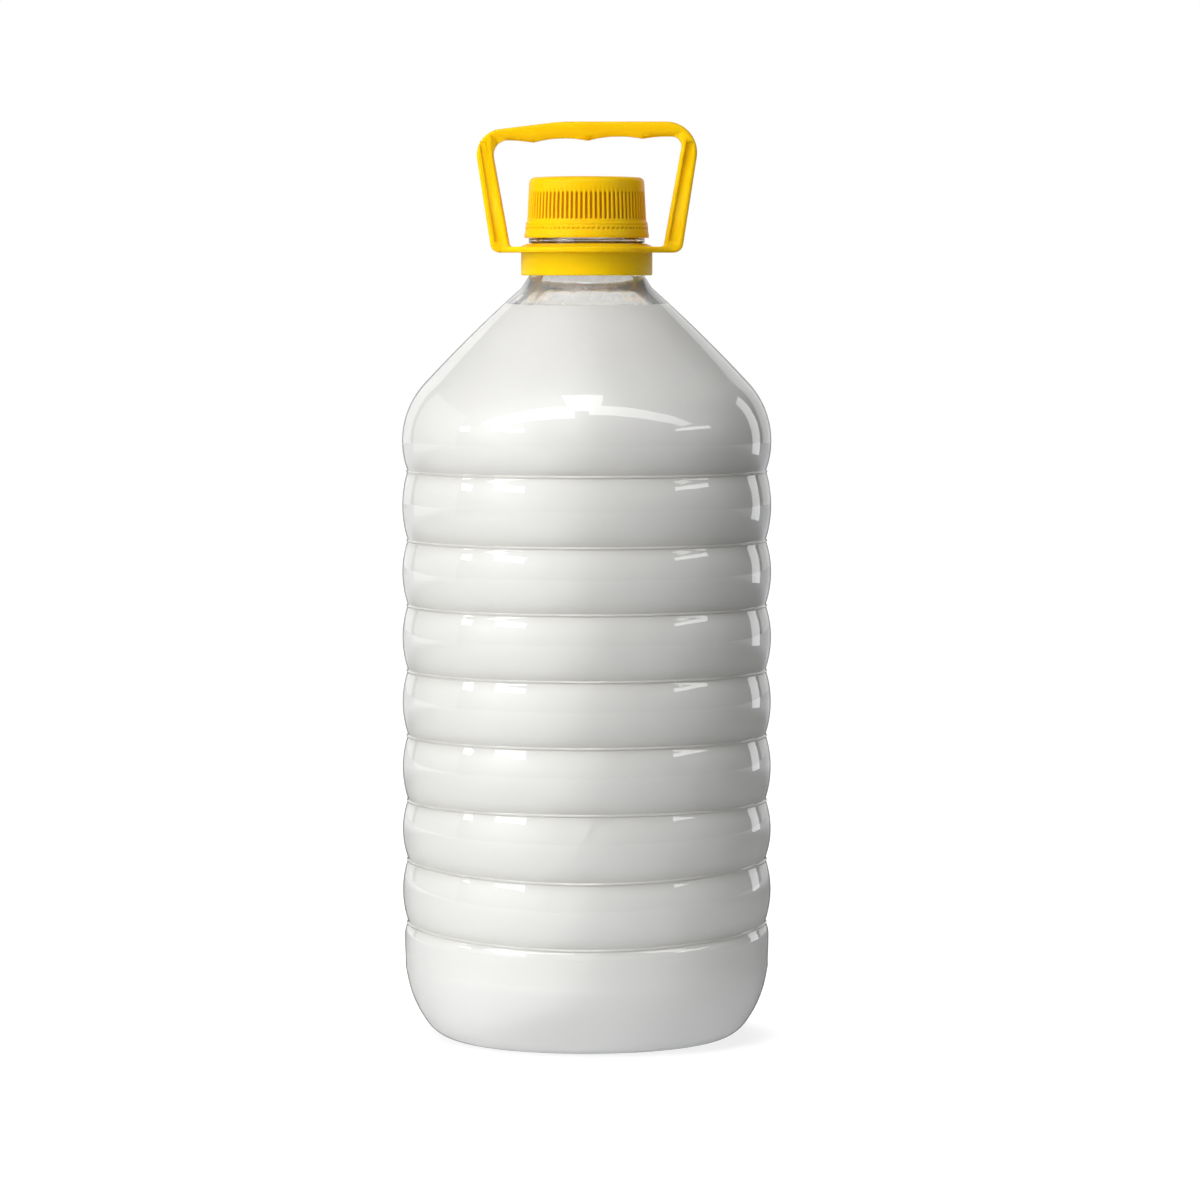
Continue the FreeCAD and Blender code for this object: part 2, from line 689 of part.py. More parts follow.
def make_collar():
    """Plate and hollow ribbed skirt that turn on the neck below the support ring."""
    body = new_body("collar")
    under, top = plate_levels()
    low = under - size("collar_height")

    plan = Outline(body, "PlatePlan", plane="XY_Plane", level=under)
    end, half = ARM_FOOT - size("arm_width") / 2, size("plate_end_width") / 2
    corner = (end.number, half.number)
    reach = PLATE_RADIUS.number
    touch = direction((0, 0), corner) + math.degrees(math.acos(reach / math.hypot(*corner)))
    spot = (reach * math.cos(math.radians(touch)), reach * math.sin(math.radians(touch)))
    back = plan.arc((0, 0), reach, touch, 180 - touch)
    front = plan.arc((0, 0), reach, 180 + touch, 360 - touch)
    for arc in (back, front):
        plan.hold("Coincident", arc, CENTRE, *ORIGIN)
        plan.radius(arc, PLATE_RADIUS)
    tips = {}
    for arc, arc_end, side, depth in ((back, START, 1, 1), (back, END, -1, 1),
                                      (front, START, -1, -1), (front, END, 1, -1)):
        flank = plan.line((side * spot[0], depth * spot[1]), (side * corner[0], depth * corner[1]))
        plan.smooth(arc, arc_end, flank, START)
        plan.place(flank, END, (end * side, half * depth))
        tips[side, depth] = flank
    for side in (1, -1):
        tip = plan.line((side * corner[0], corner[1]), (side * corner[0], -corner[1]))
        plan.join(tip, START, tips[side, 1], END)
        plan.join(tip, END, tips[side, -1], END)
    plate = extrude(body, plan, "Plate", size("plate_thickness"))

    def on_rim(edge):
        on_face = is_level(edge, under) or is_level(edge, top)
        return on_face and edge.BoundBox.XLength > CLOSE

    round_edges(body, plate, "PlateEdge", on_rim, size("plate_round"))

    ring = Outline(body, "SkirtSection")
    ring.polygon([
        (COLLAR_BORE, under),
        (SKIRT_INSIDE, under),
        (SKIRT_INSIDE, low),
        (COLLAR_RADIUS, low),
        (COLLAR_RADIUS, under + size("plate_round")),
        (COLLAR_RADIUS + size("hub_foot"), top),
        (COLLAR_BORE + size("hub_land"), top + size("plate_hub")),
        (COLLAR_BORE, top + size("plate_hub")),
    ])
    skirt = turn(body, ring, "Skirt")

    def at_lower_edge(edge):
        return is_circle_at(edge, COLLAR_RADIUS, low)

    round_edges(body, skirt, "SkirtEdge", at_lower_edge, size("collar_round"))

    rib_low = low + size("collar_rib_rise")
    rib_plan = Outline(body, "RibPlan", plane="XY_Plane", level=rib_low)
    half = size("collar_rib_width") / 2
    rib_in = COLLAR_BORE - size("collar_gap")
    rib_out = SKIRT_INSIDE + size("collar_wall") / 2
    rib_plan.polygon([(rib_in, half * -1), (rib_out, half * -1), (rib_out, half), (rib_in, half)])
    rib = extrude(body, rib_plan, "Rib", under - rib_low + size("plate_round"))
    repeat_round(body, rib, size("collar_ribs"), "CollarRibs")

    bore_plan = Outline(body, "BorePlan", plane="XY_Plane", level=low)
    bore_circle = bore_plan.circle(COLLAR_BORE.number)
    bore_plan.hold("Coincident", bore_circle, CENTRE, *ORIGIN)
    bore_plan.radius(bore_circle, COLLAR_BORE)
    length = top + size("plate_hub") - low + size("overrun")
    extrude(body, bore_plan, "Bore", length, kind="PartDesign::Pocket", back=True)
    return body


def arm_across(height, inner=False):
    """Half width over the arms at a height, outside or inside."""
    rise = height - plate_levels()[0]
    if inner:
        return ARM_FOOT - size("arm_width") + rise * size("arm_inner_lean").tangent()
    return ARM_FOOT + rise * size("arm_lean").tangent()


def mirrored_x(point):
    return point[0] * -1, point[1]


def hollow_radius(first, last, depth):
    """Radius of an arc of a given depth between two points."""
    across, up = last[0] - first[0], last[1] - first[1]
    return (across * across + up * up) / (depth * 8) + depth / 2


def draw_hollow(outline, right, left, depth):
    """Arc that bulges up between two finger rests."""
    radius = hollow_radius(right, left, depth)
    spots = [(point[0].number, point[1].number) for point in (right, left)]
    middle = [(a + b) / 2 for a, b in zip(*spots)]
    half = math.dist(*spots) / 2
    back_off = (radius.number - depth.number) / (2 * half)
    centre = (middle[0] + (spots[0][1] - spots[1][1]) * back_off,
              middle[1] - (spots[0][0] - spots[1][0]) * back_off)
    start, end = direction(centre, spots[0]), direction(centre, spots[1])
    arc = outline.arc(centre, radius.number, start, end)
    outline.radius(arc, radius)
    return arc


def draw_window(outline, stops, feet):
    """Closed outline under the grip: hollows from stop to stop, then down over the feet."""
    sill = outline.path([stops[-1]] + feet + [stops[0]])
    depths = [size("end_hollow"), size("finger_hollow"), size("finger_hollow"), size("end_hollow")]
    before = sill[-1]
    for right, left, depth in zip(stops, stops[1:], depths):
        hollow = draw_hollow(outline, right, left, depth)
        outline.join(before, END, hollow, START)
        if left is not stops[-1]:
            outline.place(hollow, END, left)
        before = hollow
    outline.join(before, END, sill[0], START)


def make_loop():
    """Arms and finger grip, cut from one thick outline."""
    body = new_body("loop")
    under, top = plate_levels()
    crest = top + size("grip_top")
    fall = size("grip_droop").tangent()
    lean = size("arm_lean").tangent()
    droop = (size("droop_start") * -1, crest)
    level_run = ARM_FOOT - size("droop_start") + (crest - under) * lean
    left_top = crest - level_run * fall / (lean * fall + 1)
    outer = [
        (ARM_FOOT * -1, under),
        (ARM_FOOT, under),
        (arm_across(crest), crest),
        droop,
        (arm_across(left_top) * -1, left_top),
    ]
    rests = []
    for index in (1, 0, -1):
        rise = size("finger_level") + size("finger_step") * index
        rests.append((size("finger_pitch") * index + size("finger_offset"), top + rise))
    right_high = rests[0][1] + size("end_rise")
    left_high = rests[-1][1] + size("end_rise")
    right_end = (arm_across(right_high, inner=True), right_high)
    left_end = (arm_across(left_high, inner=True) * -1, left_high)
    foot = (arm_across(top, inner=True), top)

    outline = Outline(body, "LoopFront")
    outline.polygon(outer)
    stops = [right_end] + rests + [left_end]
    draw_window(outline, stops, [mirrored_x(foot), foot])
    feature = extrude(body, outline, "Loop", size("handle_depth"), middle=True)

    corners = [
        ("FootCorners", outer[:2], "foot_corner"),
        ("GripCorner", outer[2:3], "grip_corner"),
        ("DroopBend", [droop], "droop_round"),
        ("DroopCorner", outer[4:], "droop_corner"),
        ("FootInside", [foot, mirrored_x(foot)], "foot_inner_corner"),
        ("GripInside", [right_end], "grip_inner_corner"),
        ("DroopInside", [left_end], "droop_inner_corner"),
        ("Rests", rests, "rest_round"),
    ]
    for name, points, radius in corners:
        spots = [Vector(plain(x), 0, plain(z)) for x, z in points]

        def runs_through(edge, spots=spots):
            box = edge.BoundBox
            is_through = max(box.XLength, box.ZLength) < CLOSE
            return is_through and any(box.Center.distanceToPoint(spot) < CLOSE for spot in spots)

        feature = round_edges(body, feature, name, runs_through, size(radius))

    for name, outside, radius in (("OuterEdges", True, "outer_round"),
                                  ("InnerEdges", False, "inner_round")):
        doc.recompute()
        border = face_border(feature.Shape, size("handle_depth").number / 2, outside)

        def on_border(edge, border=border):
            return any(edge.isSame(other) for other in border)

        feature = round_edges(body, feature, name, on_border, size(radius))

    recess = Outline(body, "RecessFront", level=size("handle_depth") / 2)
    foot_level = top + size("recess_foot")
    head_level = crest - size("recess_head")
    for side in (1, -1):
        outer_rim, inner_rim = size("rim_width"), size("inner_rim_width")
        recess.polygon([
            ((arm_across(foot_level, inner=True) + inner_rim) * side, foot_level),
            ((arm_across(foot_level) - outer_rim) * side, foot_level),
            ((arm_across(head_level) - outer_rim) * side, head_level),
            ((arm_across(head_level, inner=True) + inner_rim) * side, head_level),
        ])
    cut = extrude(body, recess, "Recess", size("recess_depth"), kind="PartDesign::Pocket")
    bevel_height = size("bevel_height")
    bevel = Outline(body, "BevelFront", level=size("handle_depth") / 2)
    lifted = [(x, z + bevel_height) for x, z in stops]
    below = [(x, z - bevel_height * 2) for x, z in (stops[-1], stops[0])]
    draw_window(bevel, lifted, below)
    slanted = extrude(body, bevel, "Bevel", size("bevel_depth"), kind="PartDesign::Pocket")
    slant = (bevel_height / size("bevel_depth")).slant()
    slanted.setExpression("TaperAngle", (slant * -1).formula)
    both = body.newObject("PartDesign::Mirrored", "FrontAndBack")
    both.Originals = [cut, slanted]
    both.MirrorPlane = (origin_feature(body, "XZ_Plane"), [""])
    body.Tip = both

    opening = Outline(body, "NeckOpening", plane="XY_Plane", level=under - size("overrun"))
    width = COLLAR_RADIUS - size("collar_wall") / 2
    opening_circle = opening.circle(width.number)
    opening.hold("Coincident", opening_circle, CENTRE, *ORIGIN)
    opening.radius(opening_circle, width)
    length = size("plate_thickness") + size("overrun") * 2
    extrude(body, opening, "NeckCut", length, kind="PartDesign::Pocket", back=True)
    return body


def face_border(shape, distance, outside):
    """Edges round the outside, or round the window, of the two faces at this distance in Y."""
    edges = []
    for face in shape.Faces:
        box = face.BoundBox
        if box.YLength < CLOSE and abs(abs(box.YMin) - distance) < CLOSE:
            outer = face.OuterWire
            wires = [outer] if outside else [w for w in face.Wires if not w.isSame(outer)]
            edges += [edge for wire in wires for edge in wire.Edges]
    return edges


def make_handle():
    """Collar and loop as the one moulding that they are."""
    handle = doc.addObject("Part::MultiFuse", "handle")
    handle.Label = "handle"
    handle.Shapes = [make_collar(), make_loop()]
    handle.Refine = True
    return handle


# ---- write the pieces -----------------------------------------------------------------------

pieces = [make_bottle(), make_liquid(), make_cap(), make_handle()]
doc.recompute()
for feature in doc.Objects:
    if "Invalid" in feature.State or "Error" in feature.State:
        raise RuntimeError(f"{feature.Label} could not be built")
for sketch in doc.findObjects("Sketcher::SketchObject"):
    if not sketch.FullyConstrained:
        raise RuntimeError(f"{sketch.Label} is not fully held by its sizes")

os.makedirs("parts", exist_ok=True)
for piece in pieces:
    shape = piece.Shape
    if shape.isNull() or not shape.isValid() or len(shape.Solids) != 1:
        raise RuntimeError(f"{piece.Label} is not one sound solid")
    shape.exportStep(f"parts/{piece.Label}.step")
    print(f"{piece.Label}: {shape.Volume / 1000:.1f} cm3")
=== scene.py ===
# %% [markdown]
# # A five litre jug of milky disinfectant
#
# The jug is a clear blown bottle full of a white liquid. It has a ribbed yellow screw cap and a
# yellow carrying handle that turns on the neck. The measured model gives every size and place,
# and this notebook gives each piece its fine shape, its material and its light.

# %% Load the measured model
import math

import bmesh
import bpy
import numpy as np
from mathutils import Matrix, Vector


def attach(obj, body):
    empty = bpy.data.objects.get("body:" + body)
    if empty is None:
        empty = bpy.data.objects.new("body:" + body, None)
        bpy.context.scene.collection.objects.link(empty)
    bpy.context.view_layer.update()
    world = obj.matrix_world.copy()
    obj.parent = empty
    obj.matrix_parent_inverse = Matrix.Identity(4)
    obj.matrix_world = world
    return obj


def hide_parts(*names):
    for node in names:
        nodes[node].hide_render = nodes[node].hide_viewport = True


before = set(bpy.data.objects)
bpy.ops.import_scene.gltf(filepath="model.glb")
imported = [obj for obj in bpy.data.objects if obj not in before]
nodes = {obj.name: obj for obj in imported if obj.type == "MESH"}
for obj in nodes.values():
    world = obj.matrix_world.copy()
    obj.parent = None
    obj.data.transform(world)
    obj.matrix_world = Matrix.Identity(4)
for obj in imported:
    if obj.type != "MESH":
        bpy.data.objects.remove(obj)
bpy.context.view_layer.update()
MM = 0.001

# %% [markdown]
# ## Surfaces from arrays
#
# The bottle, the liquid and the cap are round, so each is a profile that turns about the
# upright axis. One helper takes a whole grid of points, closes it round the axis and closes
# both ends with a fan. A plain lathe would give the same rings, but a grid can also carry the
# ribs of the cap and the slight waves of blown plastic. Profiles and grids are in millimetres.

# %% Arcs, fades and grids
def arc(centre, radius, start, end, steps, dense_ends=False):
    """Points at centre + radius * (cos, sin), from start to end in degrees."""
    share = np.linspace(0, 1, steps)
    if dense_ends:
        share = (1 - np.cos(share * np.pi)) / 2
    angle = np.radians(start + (end - start) * share)
    return np.stack([centre[0] + radius * np.cos(angle),
                     centre[1] + radius * np.sin(angle)], axis=1)


def heading(centre, point):
    """Direction from one point of the profile to another, in degrees."""
    return math.degrees(math.atan2(point[1] - centre[1], point[0] - centre[0]))


def ramp(amount, start, end):
    """0 up to start and 1 from end on, with a straight passage between them."""
    return np.clip((amount - start) / (end - start), 0, 1)


def fade(amount, start, end):
    """0 up to start and 1 from end on, with a soft passage between them."""
    share = ramp(amount, start, end)
    return share * share * (3 - 2 * share)


def grid(profile, columns):
    """Radii and heights of a profile, once for each column of a surface."""
    return (np.repeat(profile[:, :1], columns, axis=1),
            np.repeat(profile[:, 1:], columns, axis=1))


# %% From a grid to a piece
def new_object(name, data):
    """Object with this data, put into the scene."""
    thing = bpy.data.objects.new(name, data)
    bpy.context.scene.collection.objects.link(thing)
    return thing


def closed_surface(name, radius, height, angle):
    """Mesh of the points (r cos a, r sin a, z) in millimetres, rows by columns.

    Each row is a ring closed round the axis. The first and the last row shrink to one point
    on the axis, with a fan of triangles. Rows run so that faces point outwards.
    """
    rows, columns = radius.shape
    across = np.broadcast_to(angle, radius.shape)
    ring = np.stack([radius * np.cos(across), radius * np.sin(across), height], axis=2)[1:-1]
    poles = np.array([[0, 0, height[0, 0]], [0, 0, height[-1, 0]]])
    points = np.concatenate([ring.reshape(-1, 3), poles]) * MM
    here = np.arange((rows - 2) * columns).reshape(rows - 2, columns)
    after = np.roll(here, -1, axis=1)
    quads = np.stack([here[:-1], after[:-1], after[1:], here[1:]], axis=2).reshape(-1, 4)
    first, last = len(points) - 2, len(points) - 1
    low = np.stack([np.full(columns, first), after[0], here[0]], axis=1)
    high = np.stack([np.full(columns, last), here[-1], after[-1]], axis=1)
    mesh = bpy.data.meshes.new(name)
    mesh.from_pydata(points.tolist(), [], quads.tolist() + low.tolist() + high.tolist())
    mesh.validate()
    mesh.shade_smooth()
    print(name, "has", len(mesh.polygons), "faces")
    return new_object(name, mesh)


def mark_points(piece, name, share):
    """Give a piece from closed_surface a value at each point of its grid, as an attribute."""
    mark = piece.data.attributes.new(name, "FLOAT", "POINT")
    mark.data.foreach_set("value", np.append(share[1:-1].ravel(), [0, 0]).astype(np.float32))


# %% [markdown]
# ## The side of the bottle
#
# A blown bottle is a chain of arcs that touch: the pushed-up base, the foot, the belly of the
# heel, a faint waist and the band over it, then panels with a groove between each two, the
# shoulder and its long slope. An inset copy of the chain, with each radius changed by the
# inset, is the inside of the wall. One function draws both, so wall and liquid always agree.
# A curve through hand-placed points would need each point twice and would not keep the wall
# even.

# %% Levels and radii of the bottle
GROOVES = 49.4 + np.cumsum([0, 26.8, 25.1, 27.5, 27.5, 27.5, 27.5, 29.2])
GROOVE_DEPTH, GROOVE_ROUND = 2.2, 1.6
BODY_RADIUS, SHOULDER_RADIUS = 78.0, 36
CROWN = GROOVES[-1] + 12.5              # widest level of the shoulder
ROOT = CROWN + 68.3                     # where the slope meets the neck
NECK_RADIUS, NECK_BORE = 23.3, 19.8
RING_LOW = ROOT + 15.2                  # the neck's support ring
RING_TOP = RING_LOW + 1.9
RIM = RING_LOW + 25.7
WALL = 0.6
LEVEL = ROOT - 11.7                     # the liquid's surface
print("grooves at", GROOVES.round(1), "and rim at", round(RIM, 1))


# %% Arcs of the base and the heel
def touching(centre, apart, level, way):
    """Centre of an arc at a level and at a distance from another's, outwards or inwards."""
    return centre[0] + way * math.sqrt(apart ** 2 - (level - centre[1]) ** 2), level


def heel(inset, points):
    """Arcs from the middle of the base to the lowest groove, and the centre of the last."""
    rise, push_up, stand = 4.0, 11.0, 4.0
    band, waist, belly, foot = 150.0, 14.0, 46.0, 17.0
    lip_height = 5.6                    # from the middle of the band up to the groove
    widest, level = BODY_RADIUS - 0.8, GROOVES[0] - lip_height
    band_at = (widest - band, level)
    waist_at = touching(band_at, band + waist, level - 11.8, 1)
    belly_at = touching(waist_at, waist + belly, level - 9.5, -1)
    foot_at = touching(belly_at, belly - foot, foot, 1)
    inner = foot_at[0] - stand
    dome = (inner ** 2 + (rise - push_up) ** 2 - rise ** 2) / (2 * push_up)
    dome_at, rise_at = (0, push_up - dome), (inner, rise)
    tilt, foot_tilt = heading(dome_at, rise_at), heading(belly_at, foot_at)
    belly_tilt, band_tilt = heading(belly_at, waist_at), heading(band_at, waist_at)
    valley = (BODY_RADIUS - GROOVE_DEPTH + GROOVE_ROUND, GROOVES[0])
    over = valley[0] - widest
    lip = (over ** 2 + lip_height ** 2 - GROOVE_ROUND ** 2) / (2 * (GROOVE_ROUND - over))
    lip_at = (widest - lip, level)
    return [
        arc(dome_at, dome + inset, 90, tilt, points(16)),
        arc(rise_at, rise - inset, tilt + 180, 270, points(6)),
        arc(foot_at, foot - inset, -90, foot_tilt, points(18)),
        arc(belly_at, belly - inset, foot_tilt, belly_tilt, points(14)),
        arc(waist_at, waist + inset, belly_tilt + 180, band_tilt + 180, points(6)),
        arc(band_at, band - inset, band_tilt, 0, points(6)),
        arc(lip_at, lip - inset, 0, heading(lip_at, valley), points(10)),
    ], lip_at


# %% Arcs of the grooves, the panels and the shoulder
def panels(inset, points, below):
    """Arcs of each groove and the panel over it; below is the centre of the arc under them.

    The uppermost panel ends at its widest level, where the shoulder begins.
    """
    chain = []
    tops = np.append((GROOVES[:-1] + GROOVES[1:]) / 2, CROWN)
    for groove, middle in zip(GROOVES, tops):
        half = middle - groove
        spread = (half ** 2 + GROOVE_DEPTH ** 2) / (2 * GROOVE_DEPTH)
        above = (BODY_RADIUS - spread + GROOVE_ROUND, middle)
        valley = (BODY_RADIUS - GROOVE_DEPTH + GROOVE_ROUND, groove)
        swing = math.degrees(math.asin(half / spread))
        chain.append(arc(valley, GROOVE_ROUND + inset, heading(valley, below) % 360,
                         heading(valley, above) % 360, points(9)))
        end = swing if middle < CROWN else 0
        chain.append(arc(above, spread - GROOVE_ROUND - inset, -swing, end,
                         points(20 if end else 12), dense_ends=True))
        below = above
    return chain


def slope(shoulder, shoulder_radius, root, radius, steps):
    """Long arc through the root that the shoulder's arc touches from inside.

    Its centre lies at radius - shoulder_radius from the shoulder's centre and at radius from
    the root. The two distances and the gap between these points give a triangle.
    """
    across, up = root[0] - shoulder[0], root[1] - shoulder[1]
    gap = math.hypot(across, up)
    along = ((radius - shoulder_radius) ** 2 - radius ** 2 + gap ** 2) / (2 * gap)
    aside = math.sqrt((radius - shoulder_radius) ** 2 - along ** 2)
    centre = (shoulder[0] + (across * along - up * aside) / gap,
              shoulder[1] + (up * along + across * aside) / gap)
    start = heading(centre, shoulder)
    return start, arc(centre, radius, start, heading(centre, root), steps)


# %% The whole side, outside and inside
def side(inset, bow, root, fine=1.0):
    """Profile (radius, height) from the middle of the base to the root of the neck.

    The bow is the radius of the long slope. A fine of 1 gives the most points. The inside of
    the wall is mostly hidden by the liquid and does with fewer.
    """
    def points(most):
        return max(3, round(most * fine))

    low, lip_at = heel(inset, points)
    shoulder, turned = (BODY_RADIUS - SHOULDER_RADIUS, CROWN), SHOULDER_RADIUS - inset
    turn, long_slope = slope(shoulder, turned, root, bow, 24)
    line = np.concatenate([*low, *panels(inset, points, lip_at),
                           arc(shoulder, turned, 0, turn, points(18)), long_slope])
    keep = np.append(True, np.linalg.norm(np.diff(line, axis=0), axis=1) > 0.01)
    return line[keep]


outside = side(0, 600, (NECK_RADIUS, ROOT))
inside = side(WALL, 300, (NECK_BORE, ROOT - 1.8), fine=0.4)
print("profile points:", len(outside), "and", len(inside))

# %% [markdown]
# ## Waves of blown plastic
#
# A blown wall is never a perfect turned shape. It swells and sinks by a few hundredths of a
# millimetre over a few centimetres, which bends the mirrored windows and streaks the neck.
# The two lowest grooves and the heel also hang a little lower at the front and the back than
# at the sides. In each groove the rings of the mould leave a fine ledge, which catches a thin
# line of light, and a faint ridge runs round the heel. Bump in the material could give the
# waves, but not the outline, so all of them are added to the grid itself. That way the wall
# and the liquid behind it share them.

# %% Waves, ledges and hanging grooves
SAG_LEVELS = [12.0, 31.5, 49.4, 76.2, 101.0]
SAG_DEPTHS = [0.0, 3.0, 3.9, 3.2, 0.0]
LEDGE, LEDGE_DROP, LEDGE_TOP, LEDGE_FOOT = 0.55, 0.35, 0.5, 0.22
RIDGE, RIDGE_LEVEL, RIDGE_SPREAD = 0.25, 30.5, 2.2


def hang(height, angle):
    """Heights with the low grooves sunk towards the front and the back."""
    return height - np.interp(height, SAG_LEVELS, SAG_DEPTHS) * np.sin(angle) ** 2


def ledges(height):
    """Ledge in each groove where the mould's rings meet, and a faint ridge on the heel."""
    total = np.zeros(height.shape)
    for groove in GROOVES:
        above = height - groove + LEDGE_DROP
        total += LEDGE * np.exp(-(above / np.where(above > 0, LEDGE_TOP, LEDGE_FOOT)) ** 2)
    return total + RIDGE * np.exp(-((height - RIDGE_LEVEL) / RIDGE_SPREAD) ** 2)


def waves(height, angle, seed, amount, length, count=14):
    """Smooth random ripples: a sum of waves round the wall and along it."""
    pick = np.random.default_rng(seed)
    total = np.zeros(np.broadcast(height, angle).shape)
    for _ in range(count):
        turns = int(pick.integers(1, max(2, round(2 * math.pi * BODY_RADIUS / length))))
        along = pick.normal(0, 2 * math.pi / length)
        total += np.sin(turns * angle + along * height + pick.uniform(0, 2 * math.pi))
    return total * amount / math.sqrt(count)


def dents(height, angle):
    """Shallow dents of the body, which end before the foot and before the neck."""
    body = ramp(height, 20, 40) * ramp(height, 320, 300)
    return body * np.abs(waves(height, angle, 3, 0.02, 34))


print("grooves sink by up to", max(SAG_DEPTHS), "mm and the ledges stand", LEDGE, "mm proud")

# %% [markdown]
# ## The blown bottle
#
# The wall is one closed skin: up the outside, over the rim of the neck and down the inside.
# Thickening a single surface would be shorter, but here the neck is much thicker than the
# body. Above the liquid the inside ripples more and is misted with fine drops. A painted
# share marks where, for the material to use.

# %% Bottle
COLUMNS = 192
RING_RADIUS, FINISH_RADIUS = 24.5, 21.8
neck = np.array([
    (NECK_RADIUS, ROOT + 3), (NECK_RADIUS, ROOT + 6), (NECK_RADIUS, ROOT + 9),
    (NECK_RADIUS, RING_LOW - 0.3), (NECK_RADIUS + 0.2, RING_LOW), (RING_RADIUS - 0.3, RING_LOW),
    (RING_RADIUS, RING_LOW + 0.3), (RING_RADIUS, RING_TOP - 0.3), (RING_RADIUS - 0.3, RING_TOP),
    (FINISH_RADIUS, RING_TOP), (FINISH_RADIUS, RING_TOP + 2.2),
    (FINISH_RADIUS + 1, RING_TOP + 2.3), (FINISH_RADIUS, RING_TOP + 3.6),
    (FINISH_RADIUS, RIM - 0.4), (FINISH_RADIUS - 0.4, RIM), (NECK_BORE + 0.4, RIM)])
bore = np.array([
    (NECK_BORE, RIM - 0.4), (NECK_BORE, ROOT + 17), (NECK_BORE, ROOT + 12),
    (NECK_BORE, ROOT + 7), (NECK_BORE, ROOT + 3), (NECK_BORE - 0.05, ROOT)])
wall_profile = np.concatenate([outside[:-2], neck, bore, inside[-2::-1]])
angle = np.arange(COLUMNS) * 2 * np.pi / COLUMNS
radius, height = grid(wall_profile, COLUMNS)
is_inside = (np.arange(len(wall_profile)) >= len(outside) - 2 + len(neck))[:, None]
# The clear part is the wall that the liquid leaves free, up to where the collar hides it.
clear_part = ramp(height, 285, 305) * ramp(height, ROOT + 14, ROOT + 10)
radius += ledges(height) * ~is_inside
radius -= dents(height, angle)
radius += is_inside * clear_part * waves(height, angle, 5, 0.04, 16)
bottle = closed_surface("bottle_wall", radius, hang(height, angle), angle)
mark_points(bottle, "mist", is_inside * clear_part * ramp(height, LEVEL - 1, LEVEL + 0.5))

# %% [markdown]
# ## The liquid
#
# The filling reaches a hair into the wall, so that no film of air shows between the two. Its
# top is level and creeps up the plastic at its rim, as every watery liquid does. It could be
# cut out of the bottle's inside, but the same side with a smaller inset gives it directly.

# %% Liquid
REACH = 0.08                            # how far the liquid reaches into the wall
CREEP = 0.4                             # how far it creeps up the wall
SLOPE_POINTS = 30                       # last points of the side, where it leans inwards
filling = side(WALL - REACH, 300 + REACH, (NECK_BORE + REACH, ROOT - 1.8))
below_level = filling[filling[:, 1] < LEVEL]
edge = np.interp(LEVEL, filling[-SLOPE_POINTS:, 1], filling[-SLOPE_POINTS:, 0])
surface_line = np.array([(edge, LEVEL), (edge - 0.6, LEVEL - 0.25), (edge - 2, LEVEL - CREEP),
                         (edge * 0.5, LEVEL - CREEP), (0, LEVEL - CREEP)])
liquid_profile = np.concatenate([below_level, surface_line])
radius, height = grid(liquid_profile, COLUMNS)
radius += ledges(height)
radius -= dents(height, angle)
liquid = closed_surface("milky_filling", radius, hang(height, angle), angle)

# %% [markdown]
# ## The screw cap
#
# The cap is one moulding with 76 grip ribs, a step and a tamper band that hangs on as many
# thin bridges. The ribs are too fine for separate pieces, so the grid has twelve columns to
# each rib, close together where the sides of a slot are steep. Its rows sink into the slots.

# %% Columns of the cap
RIBS = 76
PITCH = 2 * math.pi * 24.7 / RIBS       # at the ribs' mean radius
across_slot = np.array([0, 0.32, 0.42, 0.51, 0.6, 0.72])
across_slot = np.concatenate([across_slot, [PITCH / 2], PITCH - across_slot[:0:-1]])
cap_angle = ((np.arange(RIBS)[:, None] + across_slot / PITCH) * 2 * math.pi / RIBS).ravel()
from_slot = np.tile(np.minimum(across_slot, PITCH - across_slot), RIBS)
print("the cap has", RIBS, "ribs and", len(cap_angle), "columns")

# %% Profile of the cap
CAP_LOW, CAP_TOP = RING_TOP + 0.2, RIM + 1.8
SLOT_LOW, SLOT_HIGH = CAP_LOW + 8.0, CAP_TOP - 6.2
SLIT = CAP_LOW + 3.7                    # the cut between the bridges of the band
cap_inside = np.array([
    (0, RIM), (18.4, RIM), (18.4, RIM - 3), (19.6, RIM - 3), (19.6, RIM), (22.4, RIM),
    (22.4, CAP_LOW + 6.6), (23.9, CAP_LOW + 5.6), (23.9, CAP_LOW + 1), (22.3, CAP_LOW + 1),
    (23.9, CAP_LOW)])
cap_outside = np.array([
    (26.1, CAP_LOW), (26.3, CAP_LOW + 0.25), (26.2, CAP_LOW + 1.5), (26.0, SLIT - 1.2),
    (25.9, SLIT - 0.15), (25.9, SLIT), (25.9, SLIT + 0.4), (25.85, SLIT + 0.55),
    (25.8, CAP_LOW + 5.2), (25.62, CAP_LOW + 5.35), (25.62, CAP_LOW + 5.5),
    (25.75, CAP_LOW + 5.65), (25.7, CAP_LOW + 6.2), (25.6, CAP_LOW + 6.5),
    (25.25, CAP_LOW + 6.8), (25.1, CAP_LOW + 7.2), (25.1, SLOT_LOW - 0.5),
    (25.1, SLOT_LOW - 0.2), (25.08, SLOT_LOW + 0.1), (25.0, SLOT_LOW + 0.5),
    (24.9, SLOT_LOW + 3), (24.75, SLOT_LOW + 6), (24.6, SLOT_LOW + 9),
    (24.52, SLOT_HIGH - 1.2), (24.5, SLOT_HIGH - 0.5), (24.48, SLOT_HIGH),
    (24.45, SLOT_HIGH + 0.5), (24.38, CAP_TOP - 3)])
cap_edge = arc((21.9, CAP_TOP - 2.35), 2.4, 0, 84, 9)
cap_crown = np.array([(18, CAP_TOP + 0.28), (12, CAP_TOP + 0.44), (6, CAP_TOP + 0.55),
                      (0, CAP_TOP + 0.6)])
